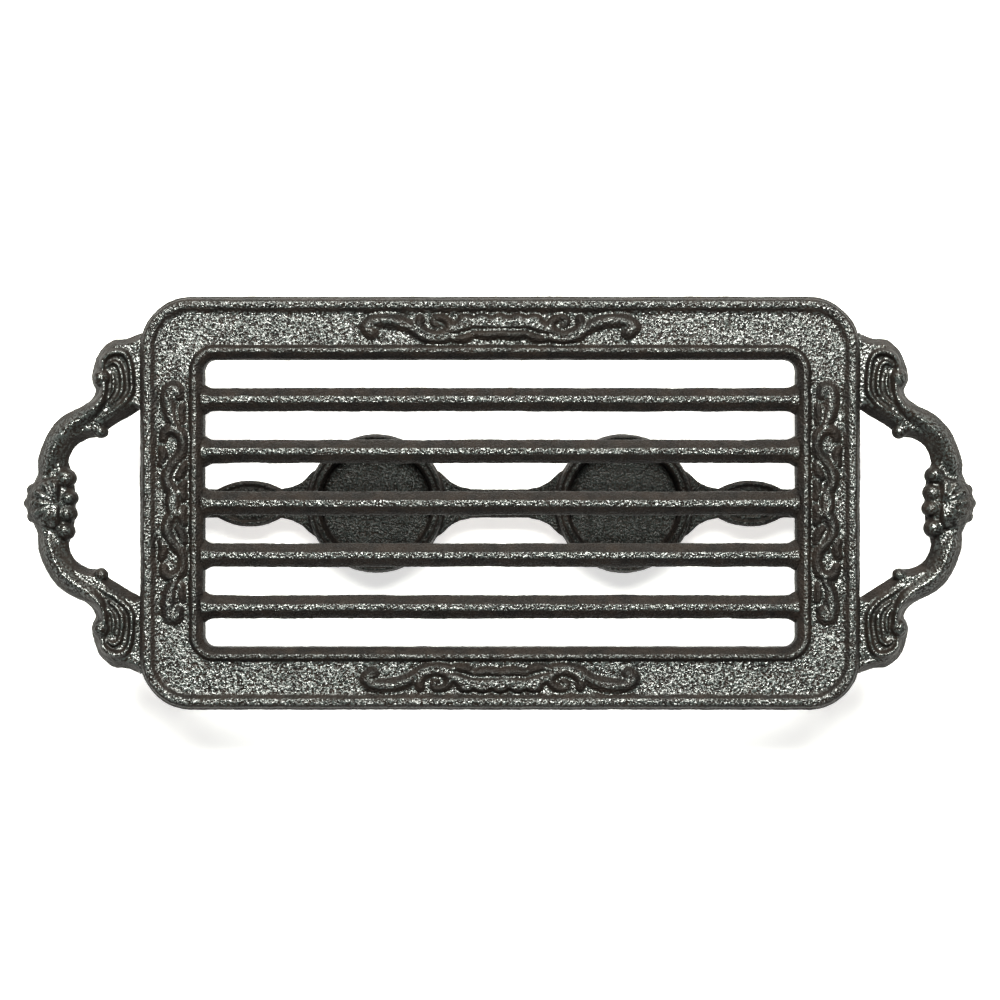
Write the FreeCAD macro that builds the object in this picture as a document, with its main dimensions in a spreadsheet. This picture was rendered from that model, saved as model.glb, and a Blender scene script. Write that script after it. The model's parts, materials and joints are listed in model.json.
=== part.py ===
import math
import os

import FreeCAD
import Part
import Sketcher

# Cast-iron tealight food warmer.
# Frame: origin on the surface it stands on, under the middle of the grate.
# +X runs along the grate from the left handle to the right one, +Y to the back, +Z up.

SIZES = (
    # grate casting
    ("frame_length", 247.4),
    ("frame_width", 141.2),
    ("frame_corner", 17.0),
    ("overall_height", 70.0),
    ("band_top", 68.4),
    ("web_bottom", 64.4),
    ("skirt_bottom", 57.0),
    ("skirt_shoulder", 66.8),
    ("skirt_step", 1.0),
    ("skirt_wall", 4.0),
    ("opening_length", 205.0),
    ("opening_width", 99.5),
    ("opening_corner", 4.0),
    ("lip_wall", 3.5),
    ("lip_bottom", 61.0),
    ("bead_width", 5.5),
    ("outer_ridge_inset", 1.7),
    ("inner_ridge_inset", 2.9),
    ("outer_bead_edge_rise", 0.6),
    ("inner_bead_edge_rise", 0.9),
    ("overlap", 0.3),
    ("bar_count", 5),
    ("bar_pitch", 17.95),
    ("bar_width", 8.2),
    ("bar_foot_width", 5.2),
    ("bar_ridge_width", 2.6),
    ("bar_bottom", 62.5),
    ("bar_shoulder", 66.2),
    ("bar_top", 69.8),
    ("bar_root", 1.0),
    # leg frames
    ("leg_x", 114.0),
    ("leg_thickness", 7.0),
    ("rail_top", 60.0),
    ("rail_bottom", 52.0),
    ("foot_radius", 6.0),
    ("foot_y", 59.0),
    ("foot_thickness", 3.0),
    ("cross_rail_bottom", 8.0),
    ("cross_rail_top", 14.0),
    ("cross_rail_reach", 52.0),
    # handles
    ("handle_bottom", 57.5),
    ("handle_thickness", 8.0),
    ("handle_boss_x", 157.2),
    ("handle_boss_half_x", 8.8),
    ("handle_boss_half_y", 10.5),
    ("handle_boss_half_z", 6.0),
    ("volute_x", 138.6),
    ("volute_y", 43.7),
    ("volute_radius", 3.4),
    ("volute_rise", 1.4),
    # candle tray
    ("strut_width", 10.8),
    ("strut_thickness", 4.5),
    ("strut_eye_radius", 7.0),
    ("rib_width", 5.0),
    ("rib_end_gap", 1.0),
    ("cup_x", 45.0),
    ("cup_bottom", 10.5),
    ("cup_floor", 13.5),
    ("cup_bore_radius", 20.25),
    ("cup_bore_top", 21.0),
    ("cup_wall", 2.5),
    ("cup_lip_radius", 22.5),
    ("cup_lip_top", 22.8),
    ("cup_ridge_radius", 23.7),
    ("cup_ridge_top", 24.0),
    ("cup_ridge_foot", 0.7),
    ("cup_ridge_step", 0.9),
    ("cup_flange_radius", 25.3),
    ("cup_flange_edge", 1.5),
    ("leaf_x", 91.0),
    ("leaf_half_length", 14.5),
    ("leaf_half_width", 8.4),
    ("leaf_rim", 2.4),
    ("leaf_dish", 0.8),
    ("web_reach", 31.0),
    ("web_half_width", 12.0),
    # fasteners: M5 screws hold the legs, M4 screws hold the handles and the tray
    ("leg_screw_y", 30.0),
    ("leg_screw_radius", 2.5),
    ("leg_screw_reach", 14.3),
    ("leg_screw_head_radius", 4.5),
    ("leg_screw_head", 3.2),
    ("leg_boss_radius", 5.5),
    ("leg_pad_radius", 5.0),
    ("leg_tapped_depth", 6.8),
    ("handle_screw_y", 46.0),
    ("handle_screw_z", 60.8),
    ("handle_screw_reach", 12.0),
    ("tray_screw_reach", 15.5),
    ("small_screw_radius", 2.0),
    ("small_head_radius", 3.5),
    ("small_head", 2.6),
    ("tapped_clearance", 0.05),
    ("drilled_clearance", 0.2),
    ("slot_width", 1.0),
    ("slot_depth", 1.2),
    ("washer_radius", 4.5),
    ("washer_thickness", 1.0),
    ("nut_corner_radius", 4.04),
    ("nut_thickness", 3.2),
)

# One half of the right handle seen from above, from the middle to the flange on the grate.
# Each stretch is an arc: (point on the way, end point).
HANDLE_START = (147.4, 0.0)
HANDLE_MIDDLE = (166.0, 0.0)
HANDLE_OUTER_ARCS = (
    ((164.9, 5.8), (162.0, 11.2)),
    ((157.0, 25.0), (141.4, 38.6)),
    ((142.1, 46.5), (138.6, 54.2)),
    ((132.6, 57.4), (124.7, 59.6)),
)
HANDLE_INNER_ARCS = (
    ((130.9, 29.6), (136.8, 24.6)),
    ((145.8, 21.8), (151.2, 14.6)),
    ((148.9, 8.0), (147.4, 0.0)),
)
HANDLE_FLANGE_FOOT = (124.7, 33.4)

# One half of a leg frame seen from the end, from the middle of the rail round the leg.
LEG_START = (0.0, 60.0)
LEG_SHOULDER = (54.0, 60.0)
LEG_OUTER_ARCS = (
    ((60.6, 54.5), (60.4, 45.0)),
    ((57.4, 29.0), (56.8, 14.0)),
    ((58.4, 6.0), (63.0, 2.0)),
)
LEG_TOE = (63.0, 0.0)
LEG_HEEL = (54.5, 0.0)
LEG_INNER_ARCS = (
    ((51.6, 8.0), (50.8, 16.0)),
    ((49.8, 31.0), (46.6, 42.0)),
    ((41.8, 49.4), (33.0, 52.0)),
)
RAIL_MIDDLE = (0.0, 52.0)

# A pan head's profile, as fractions of its radius and of its height.
HEAD_CROWN = 0.62
HEAD_SHOULDER = 0.92
HEAD_RIM = 0.3
TIP_CHAMFER = 0.3

UP = FreeCAD.Vector(0, 0, 1)

doc = FreeCAD.newDocument("tealight_food_warmer")


class Size:
    """A length that knows both its number and its spreadsheet formula."""

    def __init__(self, number, formula):
        self.number = number
        self.formula = formula

    def joined(self, sign, other):
        """This size with another size or a plain number added or taken away."""
        other = other if isinstance(other, Size) else Size(other, str(other))
        number = self.number + other.number if sign == "+" else self.number - other.number
        return Size(number, f"({self.formula} {sign} {other.formula})")

    def __add__(self, other):
        return self.joined("+", other)

    def __sub__(self, other):
        return self.joined("-", other)

    def __mul__(self, factor):
        return Size(self.number * factor, f"({self.formula} * {factor})")

    def __neg__(self):
        return self * -1


def fill_sheet():
    """Writes every driving size into the spreadsheet and returns them by name."""
    sheet = doc.addObject("Spreadsheet::Sheet", "sizes")
    found = {}
    for row, (name, value) in enumerate(SIZES, start=1):
        sheet.set(f"A{row}", name)
        sheet.set(f"B{row}", str(value))
        sheet.setAlias(f"B{row}", name)
        found[name] = Size(value, f"sizes.{name}")
    doc.recompute()
    return found


size = fill_sheet()
zero = Size(0, "0")
leg_face = size["leg_x"] - size["leg_thickness"] * 0.5
flange_x = size["frame_length"] * 0.5 + size["skirt_step"]
skirt_inside = flange_x - size["skirt_wall"]
tray_top = size["cross_rail_top"] + size["strut_thickness"]


def origin_item(body, role):
    """An axis or plane of the body's own origin."""
    for feature in body.Origin.OriginFeatures:
        if feature.Role == role:
            return feature
    raise ValueError(role)


def new_body(name):
    body = doc.addObject("PartDesign::Body", name)
    body.Label = name
    return body


def new_sketch(body, plane, name, lift=None, shift=None):
    """A sketch on an origin plane, lifted along its normal and shifted along its X."""
    sketch = body.newObject("Sketcher::SketchObject", name)
    sketch.AttachmentSupport = [(origin_item(body, plane), "")]
    sketch.MapMode = "FlatFace"
    if lift is not None:
        sketch.setExpression("AttachmentOffset.Base.z", lift.formula)
    if shift is not None:
        sketch.setExpression("AttachmentOffset.Base.x", shift.formula)
    return sketch


def vector(x, y):
    return FreeCAD.Vector(x, y, 0)


def locate(sketch, geometry, point, x, y):
    """Fixes a point of the sketch at sizes x and y from its origin."""
    for kind, axis, place in (("DistanceX", -2, x), ("DistanceY", -1, y)):
        if place.number == 0:
            sketch.addConstraint(Sketcher.Constraint("PointOnObject", geometry, point, axis))
            continue
        index = sketch.addConstraint(Sketcher.Constraint(kind, -1, 1, geometry, point, place.number))
        sketch.setExpression(f"Constraints[{index}]", place.formula)


def polygon(sketch, corners):
    """A closed outline of straight sides whose corners are pairs of sizes."""
    first = sketch.GeometryCount
    count = len(corners)
    for k in range(count):
        x0, y0 = corners[k]
        x1, y1 = corners[(k + 1) % count]
        line = Part.LineSegment(vector(x0.number, y0.number), vector(x1.number, y1.number))
        sketch.addGeometry(line, False)
    for k in range(count):
        following = first + (k + 1) % count
        sketch.addConstraint(Sketcher.Constraint("Coincident", first + k, 2, following, 1))
    for k, (x, y) in enumerate(corners):
        locate(sketch, first + k, 1, x, y)


def circle(sketch, x, y, radius):
    index = sketch.addGeometry(Part.Circle(vector(x.number, y.number), UP, radius.number), False)
    locate(sketch, index, 3, x, y)
    constraint = sketch.addConstraint(Sketcher.Constraint("Radius", index, radius.number))
    sketch.setExpression(f"Constraints[{constraint}]", radius.formula)


def rounded_rectangle(sketch, length, width, radius):
    """A rectangle with equal round corners, centred on the sketch's origin."""
    half_x = length.number / 2
    half_y = width.number / 2
    corner = radius.number
    first = sketch.GeometryCount
    quarter = math.pi / 2
    inner_x = half_x - corner
    inner_y = half_y - corner
    sides = (
        ((half_x, -inner_y), (half_x, inner_y)),
        ((inner_x, half_y), (-inner_x, half_y)),
        ((-half_x, inner_y), (-half_x, -inner_y)),
        ((-inner_x, -half_y), (inner_x, -half_y)),
    )
    centres = ((inner_x, inner_y), (-inner_x, inner_y), (-inner_x, -inner_y), (inner_x, -inner_y))
    for k in range(4):
        start, end = sides[k]
        sketch.addGeometry(Part.LineSegment(vector(*start), vector(*end)), False)
        arc = Part.ArcOfCircle(Part.Circle(vector(*centres[k]), UP, corner), k * quarter, (k + 1) * quarter)
        sketch.addGeometry(arc, False)
    for k in range(4):
        line = first + 2 * k
        following = first + 2 * ((k + 1) % 4)
        sketch.addConstraint(Sketcher.Constraint("Tangent", line, 2, line + 1, 1))
        sketch.addConstraint(Sketcher.Constraint("Tangent", line + 1, 2, following, 1))
        sketch.addConstraint(Sketcher.Constraint("Horizontal" if k % 2 else "Vertical", line))
    for k in range(1, 4):
        sketch.addConstraint(Sketcher.Constraint("Equal", first + 1, first + 1 + 2 * k))
    sketch.addConstraint(Sketcher.Constraint("Symmetric", first + 1, 3, first + 5, 3, -1, 1))
    bound = (
        (Sketcher.Constraint("DistanceX", first + 4, 1, first, 1, length.number), length),
        (Sketcher.Constraint("DistanceY", first + 6, 1, first + 2, 1, width.number), width),
        (Sketcher.Constraint("Radius", first + 1, radius.number), radius),
    )
    for constraint, value in bound:
        index = sketch.addConstraint(constraint)
        sketch.setExpression(f"Constraints[{index}]", value.formula)


def arc_outline(sketch, start, stretches):
    """A closed outline of lines (one point) and arcs (two points), fixed as drawn."""
    first = sketch.GeometryCount
    here = vector(*start)
    for stretch in stretches:
        if len(stretch) == 1:
            end = vector(*stretch[0])
            sketch.addGeometry(Part.LineSegment(here, end), False)
        else:
            end = vector(*stretch[1])
            sketch.addGeometry(Part.Arc(here, vector(*stretch[0]), end), False)
        here = end
    for index in range(first, sketch.GeometryCount):
        sketch.addConstraint(Sketcher.Constraint("Block", index))


def pad(body, sketch, name, length, both_ways=False):
    feature = body.newObject("PartDesign::Pad", name)
    feature.Profile = sketch
    feature.SideType = "Symmetric" if both_ways else "One side"
    feature.setExpression("Length", length.formula)
    sketch.Visibility = False
    doc.recompute()
    return feature


def pocket(body, sketch, name, length):
    """Cuts from the sketch along its normal, and checks that material went."""
    before = body.Shape.Volume
    feature = body.newObject("PartDesign::Pocket", name)
    feature.Profile = sketch
    feature.Reversed = True
    feature.setExpression("Length", length.formula)
    sketch.Visibility = False
    doc.recompute()
    if not body.Shape.Volume < before:
        raise RuntimeError(f"{body.Label}: {name} cuts nothing")
    return feature


def revolve(body, sketch, name):
    """Turns a profile a full turn about its sketch's vertical axis."""
    feature = body.newObject("PartDesign::Revolution", name)
    feature.Profile = sketch
    feature.ReferenceAxis = (sketch, ["V_Axis"])
    feature.Angle = 360
    sketch.Visibility = False
    doc.recompute()
    return feature


def mirror(body, originals, plane, name):
    feature = body.newObject("PartDesign::Mirrored", name)
    feature.Originals = originals
    feature.MirrorPlane = (origin_item(body, plane), [""])
    body.Tip = feature
    doc.recompute()
    return feature


def place(body, x, y, z, axis=(0, 0, 1), angle=0):
    turn = FreeCAD.Rotation(FreeCAD.Vector(*axis), angle)
    body.Placement = FreeCAD.Placement(FreeCAD.Vector(x, y, z), turn)
    return body


def add_bead(body, name, length, width, corner, inner_edge, ridge, outer_edge, edge_heights):
    """A raised gable bead swept round the grate; corner is the ridge's own radius."""
    spine = new_sketch(body, "XY_Plane", f"{name}_path", lift=size["overall_height"])
    rounded_rectangle(spine, length, width, corner)
    profile = new_sketch(body, "XZ_Plane", f"{name}_section")
    inner_height, outer_height = edge_heights
    root = size["band_top"] - size["overlap"]
    polygon(profile, (
        (inner_edge, root),
        (outer_edge, root),
        (outer_edge, outer_height),
        (ridge, size["overall_height"]),
        (inner_edge, inner_height),
    ))
    pipe = body.newObject("PartDesign::AdditivePipe", name)
    pipe.Profile = profile
    pipe.Spine = spine
    spine.Visibility = False
    profile.Visibility = False
    doc.recompute()
    return pipe


def make_grate():
    """The slotted top casting: skirted plate, two beads, five bars and its bosses."""
    body = new_body("grate")
    base = size["skirt_bottom"]
    step = size["skirt_step"] * 2
    skirt = new_sketch(body, "XY_Plane", "skirt_outline", lift=base)
    rounded_rectangle(skirt, size["frame_length"] + step, size["frame_width"] + step,
                      size["frame_corner"] + size["skirt_step"])
    pad(body, skirt, "skirt", size["skirt_shoulder"] - base)
    plate = new_sketch(body, "XY_Plane", "plate_outline", lift=base)
    rounded_rectangle(plate, size["frame_length"], size["frame_width"], size["frame_corner"])
    pad(body, plate, "plate", size["band_top"] - base)

    lip_length = size["opening_length"] + size["lip_wall"] * 2
    lip_width = size["opening_width"] + size["lip_wall"] * 2
    lip_corner = size["opening_corner"] + size["lip_wall"]
    wall = size["skirt_wall"] * 2 - step
    hollow = new_sketch(body, "XY_Plane", "underside_outline", lift=base)
    rounded_rectangle(hollow, size["frame_length"] - wall, size["frame_width"] - wall,
                      size["frame_corner"] - size["skirt_wall"] + size["skirt_step"])
    rounded_rectangle(hollow, lip_length, lip_width, lip_corner)
    pocket(body, hollow, "underside", size["web_bottom"] - base)
    relief = new_sketch(body, "XY_Plane", "lip_outline", lift=base)
    rounded_rectangle(relief, lip_length, lip_width, lip_corner)
    pocket(body, relief, "lip_relief", size["lip_bottom"] - base)
    opening = new_sketch(body, "XY_Plane", "opening_outline", lift=base)
    rounded_rectangle(opening, size["opening_length"], size["opening_width"], size["opening_corner"])
    pocket(body, opening, "opening", size["overall_height"] - base)

    inset = size["outer_ridge_inset"]
    edge = size["frame_length"] * 0.5
    add_bead(body, "outer_bead", size["frame_length"] - inset * 2, size["frame_width"] - inset * 2,
             size["frame_corner"] - inset, edge - size["bead_width"], edge - inset, edge,
             (size["band_top"], size["band_top"] + size["outer_bead_edge_rise"]))
    inset = size["inner_ridge_inset"]
    edge = size["opening_length"] * 0.5
    add_bead(body, "inner_bead", size["opening_length"] + inset * 2, size["opening_width"] + inset * 2,
             size["opening_corner"] + inset, edge, edge + inset, edge + size["bead_width"],
             (size["band_top"] + size["inner_bead_edge_rise"], size["band_top"]))

    first_bar = size["bar_pitch"] * -((size["bar_count"].number - 1) / 2)
    half = size["bar_width"] * 0.5
    foot = size["bar_foot_width"] * 0.5
    ridge = size["bar_ridge_width"] * 0.5
    section = new_sketch(body, "YZ_Plane", "bar_section")
    polygon(section, (
        (first_bar - foot, size["bar_bottom"]),
        (first_bar + foot, size["bar_bottom"]),
        (first_bar + half, size["bar_shoulder"]),
        (first_bar + ridge, size["bar_top"]),
        (first_bar - ridge, size["bar_top"]),
        (first_bar - half, size["bar_shoulder"]),
    ))
    bar = pad(body, section, "bar", size["opening_length"] + size["bar_root"] * 2, both_ways=True)
    bars = body.newObject("PartDesign::LinearPattern", "bars")
    bars.Originals = [bar]
    bars.Direction = (origin_item(body, "Y_Axis"), [""])
    bars.setExpression("Length", "sizes.bar_pitch * (sizes.bar_count - 1)")
    bars.setExpression("Occurrences", "sizes.bar_count")
    body.Tip = bars
    doc.recompute()

    sides = [(size["leg_x"] * i, size["leg_screw_y"] * j) for i in (-1, 1) for j in (-1, 1)]
    bosses = new_sketch(body, "XY_Plane", "leg_boss_outline", lift=size["rail_top"])
    holes = new_sketch(body, "XY_Plane", "leg_hole_outline", lift=size["rail_top"])
    for x, y in sides:
        circle(bosses, x, y, size["leg_boss_radius"])
        circle(holes, x, y, size["leg_screw_radius"] + size["tapped_clearance"])
    pad(body, bosses, "leg_bosses", size["web_bottom"] + size["overlap"] - size["rail_top"])
    pocket(body, holes, "leg_screw_holes", size["leg_tapped_depth"])

    drilled = new_sketch(body, "YZ_Plane", "handle_hole_outline", lift=skirt_inside - size["skirt_step"])
    for j in (-1, 1):
        circle(drilled, size["handle_screw_y"] * j, size["handle_screw_z"],
               size["small_screw_radius"] + size["drilled_clearance"])
    right = pocket(body, drilled, "right_handle_holes", size["skirt_wall"] + size["skirt_step"] * 2)
    mirror(body, [right], "YZ_Plane", "left_handle_holes")
    return body


def make_handle(name, turned):
    """A scrolled end handle bolted to the skirt; the left one is the right one turned round."""
    body = new_body(name)
    outline = new_sketch(body, "XY_Plane", "half_outline", lift=size["handle_bottom"])
    stretches = [(HANDLE_MIDDLE,), *HANDLE_OUTER_ARCS, (HANDLE_FLANGE_FOOT,), *HANDLE_INNER_ARCS]
    arc_outline(outline, HANDLE_START, stretches)
    arm = pad(body, outline, "arm", size["handle_thickness"])
    eye = new_sketch(body, "XY_Plane", "volute_outline", lift=size["handle_bottom"])
    circle(eye, size["volute_x"], size["volute_y"], size["volute_radius"])
    volute = pad(body, eye, "volute", size["handle_thickness"] + size["volute_rise"])
    tapped = new_sketch(body, "YZ_Plane", "screw_hole_outline", lift=flange_x)
    circle(tapped, size["handle_screw_y"], size["handle_screw_z"],
           size["small_screw_radius"] + size["tapped_clearance"])
    depth = size["handle_screw_reach"] - size["skirt_wall"] + size["skirt_step"]
    hole = pocket(body, tapped, "screw_hole", depth)
    mirror(body, [arm, volute, hole], "XZ_Plane", "other_half")
    boss = body.newObject("PartDesign::AdditiveEllipsoid", "shell_boss")
    boss.setExpression("Radius1", size["handle_boss_half_z"].formula)
    boss.setExpression("Radius2", size["handle_boss_half_x"].formula)
    boss.setExpression("Radius3", size["handle_boss_half_y"].formula)
    boss.AttachmentSupport = [(origin_item(body, "XY_Plane"), "")]
    boss.MapMode = "FlatFace"
    boss.setExpression("AttachmentOffset.Base.x", size["handle_boss_x"].formula)
    boss.setExpression("AttachmentOffset.Base.z",
                       (size["handle_bottom"] + size["handle_thickness"] * 0.5).formula)
    doc.recompute()
    return place(body, 0, 0, 0, angle=turned)


def make_leg_frame(name, turned):
    """An end frame: top rail, two cabriole legs and the cross rail that carries the tray."""
    body = new_body(name)
    outline = new_sketch(body, "YZ_Plane", "half_outline", lift=leg_face)
    stretches = [(LEG_SHOULDER,), *LEG_OUTER_ARCS, (LEG_TOE,), (LEG_HEEL,), *LEG_INNER_ARCS,
                 (RAIL_MIDDLE,), (LEG_START,)]
    arc_outline(outline, LEG_START, stretches)
    leg = pad(body, outline, "leg", size["leg_thickness"])
    rail = new_sketch(body, "YZ_Plane", "cross_rail_outline", lift=leg_face)
    polygon(rail, (
        (zero, size["cross_rail_bottom"]),
        (size["cross_rail_reach"], size["cross_rail_bottom"]),
        (size["cross_rail_reach"], size["cross_rail_top"]),
        (zero, size["cross_rail_top"]),
    ))
    cross_rail = pad(body, rail, "cross_rail", size["leg_thickness"])
    foot_outline = new_sketch(body, "XY_Plane", "foot_outline")
    circle(foot_outline, size["leg_x"], size["foot_y"], size["foot_radius"])
    foot = pad(body, foot_outline, "foot", size["foot_thickness"])
    pad_outline = new_sketch(body, "XY_Plane", "screw_pad_outline", lift=size["rail_bottom"])
    circle(pad_outline, size["leg_x"], size["leg_screw_y"], size["leg_pad_radius"])
    screw_pad = pad(body, pad_outline, "screw_pad", size["rail_top"] - size["rail_bottom"])
    hole_outline = new_sketch(body, "XY_Plane", "screw_hole_outline", lift=size["rail_bottom"])
    circle(hole_outline, size["leg_x"], size["leg_screw_y"],
           size["leg_screw_radius"] + size["drilled_clearance"])
    hole = pocket(body, hole_outline, "screw_hole", size["rail_top"] - size["rail_bottom"])
    mirror(body, [leg, cross_rail, foot, screw_pad, hole], "XZ_Plane", "other_half")
    eye_outline = new_sketch(body, "XY_Plane", "eye_outline", lift=size["cross_rail_bottom"])
    circle(eye_outline, size["leg_x"], zero, size["strut_eye_radius"])
    rail_depth = size["cross_rail_top"] - size["cross_rail_bottom"]
    pad(body, eye_outline, "eye", rail_depth)
    bolt_outline = new_sketch(body, "XY_Plane", "tray_hole_outline", lift=size["cross_rail_bottom"])
    circle(bolt_outline, size["leg_x"], zero, size["small_screw_radius"] + size["drilled_clearance"])
    pocket(body, bolt_outline, "tray_hole", rail_depth)
    return place(body, 0, 0, 0, angle=turned)


def make_candle_tray():
    """The strut under the grate with two tealight cups and a leaf near each end."""
    body = new_body("candle_tray")
    section = new_sketch(body, "XZ_Plane", "cup_section", shift=size["cup_x"])
    wall_foot = size["cup_bore_radius"] - size["cup_wall"]
    polygon(section, (
        (zero, size["cup_bottom"]),
        (wall_foot, size["cup_bottom"]),
        (size["cup_bore_radius"] + size["cup_wall"], size["cross_rail_top"]),
        (size["cup_flange_radius"], tray_top - size["cup_flange_edge"]),
        (size["cup_flange_radius"], tray_top),
        (size["cup_ridge_radius"] + size["cup_ridge_foot"], tray_top + size["cup_ridge_step"]),
        (size["cup_ridge_radius"], size["cup_ridge_top"]),
        (size["cup_lip_radius"], size["cup_lip_top"]),
        (size["cup_bore_radius"], size["cup_bore_top"]),
        (size["cup_bore_radius"], size["cup_floor"]),
        (zero, size["cup_floor"]),
    ))
    cup = revolve(body, section, "right_cup")
    mirror(body, [cup], "YZ_Plane", "left_cup")

    strut_half = size["strut_width"] * 0.5
    outline = new_sketch(body, "XY_Plane", "strut_outline", lift=size["cross_rail_top"])
    polygon(outline, (
        (-size["leg_x"], -strut_half),
        (size["leg_x"], -strut_half),
        (size["leg_x"], strut_half),
        (-size["leg_x"], strut_half),
    ))
    pad(body, outline, "strut", size["strut_thickness"])
    rib_half = size["rib_width"] * 0.5
    rib_end = size["leg_x"] - size["strut_eye_radius"] - size["rib_end_gap"]
    rib = new_sketch(body, "XY_Plane", "rib_outline", lift=size["cup_bottom"])
    polygon(rib, (
        (-rib_end, -rib_half),
        (rib_end, -rib_half),
        (rib_end, rib_half),
        (-rib_end, rib_half),
    ))
    pad(body, rib, "rib", tray_top - size["cup_bottom"])
    for name, side in (("left", -1), ("right", 1)):
        eye = new_sketch(body, "XY_Plane", f"{name}_eye_outline", lift=size["cross_rail_top"])
        circle(eye, size["leg_x"] * side, zero, size["strut_eye_radius"])
        pad(body, eye, f"{name}_eye", size["strut_thickness"])
        for way in (-1, 1):
            near = size["cup_x"] * side + size["cup_bore_radius"] * way
            far = size["cup_x"] * side + size["web_reach"] * way
            web = new_sketch(body, "XY_Plane", f"{name}_web_outline", lift=size["cross_rail_top"])
            polygon(web, (
                (near, -size["web_half_width"]),
                (far, -strut_half),
                (far, strut_half),
                (near, size["web_half_width"]),
            ))
            pad(body, web, f"{name}_web", size["strut_thickness"])
    add_leaves(body)
    bore = new_sketch(body, "XY_Plane", "bore_outline", lift=size["cup_floor"])
    ends = new_sketch(body, "XY_Plane", "tray_hole_outline", lift=size["cross_rail_top"])
    for side in (-1, 1):
        circle(bore, size["cup_x"] * side, zero, size["cup_bore_radius"])
        circle(ends, size["leg_x"] * side, zero, size["small_screw_radius"] + size["drilled_clearance"])
    pocket(body, bore, "cup_bores", size["cup_bore_top"] - size["cup_floor"])
    pocket(body, ends, "tray_holes", size["strut_thickness"])
    return body


def add_leaves(body):
    """A dished oval leaf on the strut near each end."""
    for name, side in (("left", -1), ("right", 1)):
        middle = vector(size["leaf_x"].number * side, 0)
        half_length = size["leaf_half_length"].number
        half_width = size["leaf_half_width"].number
        rim = size["leaf_rim"].number
        leaf = new_sketch(body, "XY_Plane", f"{name}_leaf_outline", lift=size["cross_rail_top"])
        leaf.addGeometry(Part.Ellipse(middle, half_length, half_width), False)
        pad(body, leaf, f"{name}_leaf", size["strut_thickness"])
        dish = new_sketch(body, "XY_Plane", f"{name}_dish_outline", lift=tray_top - size["leaf_dish"])
        dish.addGeometry(Part.Ellipse(middle, half_length - rim, half_width - rim), False)
        pocket(body, dish, f"{name}_dish", size["leaf_dish"] * 2)


def make_screw(name, head_radius, head_height, radius, reach):
    """A slotted pan-head screw standing on its head, its seat at the body's origin."""
    body = new_body(name)
    section = new_sketch(body, "XZ_Plane", "section")
    tip = radius * TIP_CHAMFER
    polygon(section, (
        (zero, -head_height),
        (head_radius * HEAD_CROWN, -head_height),
        (head_radius * HEAD_SHOULDER, -(head_height * HEAD_CROWN)),
        (head_radius, -(head_height * HEAD_RIM)),
        (head_radius, zero),
        (radius, zero),
        (radius, reach - tip),
        (radius - tip, reach),
        (zero, reach),
    ))
    revolve(body, section, "turned")
    half = size["slot_width"] * 0.5
    slot = new_sketch(body, "XY_Plane", "slot_outline", lift=-head_height)
    polygon(slot, (
        (-head_radius, -half),
        (head_radius, -half),
        (head_radius, half),
        (-head_radius, half),
    ))
    pocket(body, slot, "slot", size["slot_depth"])
    return body


def make_washer(name):
    body = new_body(name)
    outline = new_sketch(body, "XY_Plane", "outline")
    circle(outline, zero, zero, size["washer_radius"])
    circle(outline, zero, zero, size["small_screw_radius"] + size["drilled_clearance"])
    pad(body, outline, "disc", size["washer_thickness"])
    return body


def make_nut(name):
    body = new_body(name)
    corner = size["nut_corner_radius"]
    high = math.sqrt(3) / 2
    hexagon = ((1, 0), (0.5, high), (-0.5, high), (-1, 0), (-0.5, -high), (0.5, -high))
    outline = new_sketch(body, "XY_Plane", "outline")
    polygon(outline, [(corner * a, corner * b) for a, b in hexagon])
    circle(outline, zero, zero, size["small_screw_radius"] + size["tapped_clearance"])
    pad(body, outline, "hexagon", size["nut_thickness"])
    return body


def make_fasteners():
    """Four leg screws, four handle screws and a screw, washer and nut at each tray end."""
    made = []
    leg_x = size["leg_x"].number
    for end, side in (("left", -1), ("right", 1)):
        for row, way in (("front", -1), ("back", 1)):
            screw = make_screw(f"{end}_{row}_leg_screw", size["leg_screw_head_radius"],
                               size["leg_screw_head"], size["leg_screw_radius"], size["leg_screw_reach"])
            y = size["leg_screw_y"].number * way
            made.append(place(screw, leg_x * side, y, size["rail_bottom"].number))
            screw = make_screw(f"{end}_{row}_handle_screw", size["small_head_radius"],
                               size["small_head"], size["small_screw_radius"], size["handle_screw_reach"])
            y = size["handle_screw_y"].number * way
            made.append(place(screw, skirt_inside.number * side, y, size["handle_screw_z"].number,
                              axis=(0, 1, 0), angle=90 * side))
        screw = make_screw(f"{end}_tray_screw", size["small_head_radius"], size["small_head"],
                           size["small_screw_radius"], size["tray_screw_reach"])
        made.append(place(screw, leg_x * side, 0, tray_top.number, axis=(1, 0, 0), angle=180))
        under = size["cross_rail_bottom"] - size["washer_thickness"]
        made.append(place(make_washer(f"{end}_tray_washer"), leg_x * side, 0, under.number))
        under = under - size["nut_thickness"]
        made.append(place(make_nut(f"{end}_tray_nut"), leg_x * side, 0, under.number))
    return made


def check(parts):
    """Stops if any feature failed or any part is not one valid solid."""
    for item in doc.Objects:
        if "Invalid" in item.State or "Error" in item.State:
            raise RuntimeError(f"{item.Label} failed: {item.State}")
    for part in parts:
        shape = part.Shape
        if shape.isNull() or not shape.isValid() or len(shape.Solids) != 1:
            raise RuntimeError(f"{part.Label} is not one valid solid")


def main():
    parts = [make_grate()]
    for end, turned in (("right", 0), ("left", 180)):
        parts.append(make_handle(f"{end}_handle", turned))
        parts.append(make_leg_frame(f"{end}_leg_frame", turned))
    parts.append(make_candle_tray())
    parts.extend(make_fasteners())
    doc.recompute()
    check(parts)
    os.makedirs("parts", exist_ok=True)
    for part in parts:
        part.Shape.exportStep(f"parts/{part.Label}.step")
    print(f"{len(parts)} parts written")


main()
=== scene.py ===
import json
import math

import bpy
import numpy as np
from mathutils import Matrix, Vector, noise

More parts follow.
